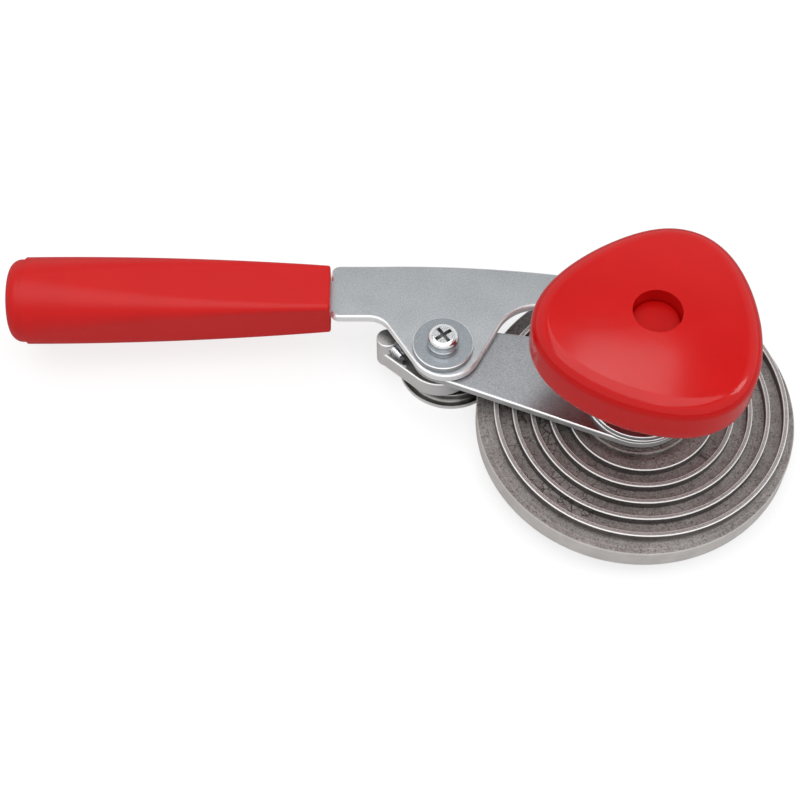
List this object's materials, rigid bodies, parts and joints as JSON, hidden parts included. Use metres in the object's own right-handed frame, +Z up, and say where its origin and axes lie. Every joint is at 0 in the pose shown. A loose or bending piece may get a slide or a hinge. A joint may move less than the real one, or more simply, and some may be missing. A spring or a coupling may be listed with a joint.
{
  "type": "manual can seamer",
  "caption": "Hand-cranked lid seamer: a spiral-grooved chuck under a three-lobed knob, with a swinging arm and a gripped lever that walks a seaming roller in to the lid's edge.",
  "frame": {"origin": "on the chuck's axis, in the plane that the machine stands on (the underside of the centring boss)", "axes": "+Z up along the chuck's axis; the handle points to -X and the lever's grip lies on the +Y side of the axis"},
  "size_m": [0.2358, 0.095, 0.0667],
  "materials": {
    "cast_disc": "cast, with machined ridge tops and rim",
    "zinc_plate": "zinc-plated sheet with rounded edges",
    "plated_bracket": "plated, satin",
    "roller_steel": "turned and plated",
    "washer_steel": "zinc-plated",
    "screw_steel": "bright plated",
    "pin_steel": "hardened, ground",
    "bronze": "plain bearing bronze",
    "knob_plastic": "gloss",
    "cap_plastic": "gloss",
    "grip_plastic": "satin moulded"
  },
  "bodies": {
    "chuck": {"chuck_disc": "cast_disc", "spindle_bolt": "screw_steel", "spindle_sleeve": "pin_steel", "hub_washer_lower": "washer_steel", "hub_washer_upper": "washer_steel", "knob": "knob_plastic", "knob_washer": "washer_steel", "knob_nut": "screw_steel", "knob_cap": "cap_plastic"},
    "arm": {"arm_plate": "zinc_plate", "arm_hub_bush": "bronze", "arm_pivot_bush": "bronze"},
    "lever": {"lever_plate": "zinc_plate", "handle_grip": "grip_plastic", "follower_pin": "pin_steel", "roller_bracket": "plated_bracket", "roll_pin": "pin_steel", "grub_screw": "screw_steel", "pivot_screw": "screw_steel", "pivot_lock_washer": "washer_steel", "pivot_washer": "washer_steel", "roller_axle": "pin_steel", "roller_washer": "washer_steel"},
    "roller": {"seaming_roller": "roller_steel", "roller_bush": "bronze"}
  },
  "joints": [
    {"name": "arm_swing", "type": "hinge", "parent": "chuck", "child": "arm", "pos_m": [0, 0, 0.0204], "axis": [0, 0, 1], "range_deg": [-690, 650]},
    {"name": "lever_tilt", "type": "hinge", "parent": "arm", "child": "lever", "pos_m": [-0.05757, 0.01543, 0.0204], "axis": [0, 0, 1], "range_deg": [-10.2, 9.6]},
    {"name": "roller_spin", "type": "hinge", "parent": "lever", "child": "roller", "pos_m": [-0.05477, 0.02419, 0.0035], "axis": [0, 0, 1], "continuous": true}
  ],
  "couplings": [
    {"joint": "lever_tilt", "follows": "arm_swing", "ratio": 0.014667}
  ]
}
